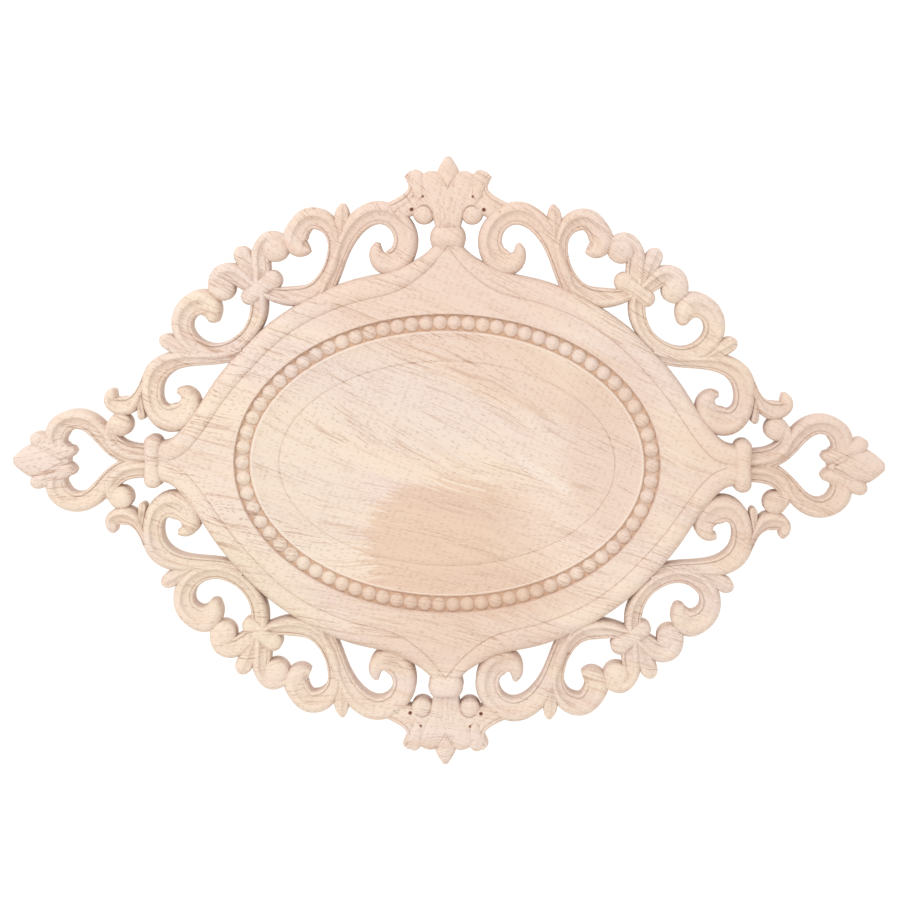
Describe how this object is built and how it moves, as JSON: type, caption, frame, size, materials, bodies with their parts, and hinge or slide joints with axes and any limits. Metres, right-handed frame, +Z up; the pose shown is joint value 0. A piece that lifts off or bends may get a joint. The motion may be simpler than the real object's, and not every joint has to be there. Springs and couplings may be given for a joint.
{
  "type": "carved wood applique",
  "caption": "Oblong openwork wood onlay with a beaded oval cartouche, pierced scrolls and buds, crests above and below, and leaf finials at both ends, on a flat back.",
  "frame": {"origin": "centre of the flat back", "axes": "+X along the length, to the right when seen from the front; +Z up; +Y out of the back, so the carving faces -Y"},
  "size_m": [0.5, 0.02, 0.35],
  "materials": {
    "sanded_rubberwood": "raw, sanded"
  },
  "bodies": {
    "root": {"carved_applique": "sanded_rubberwood"}
  },
  "joints": []
}
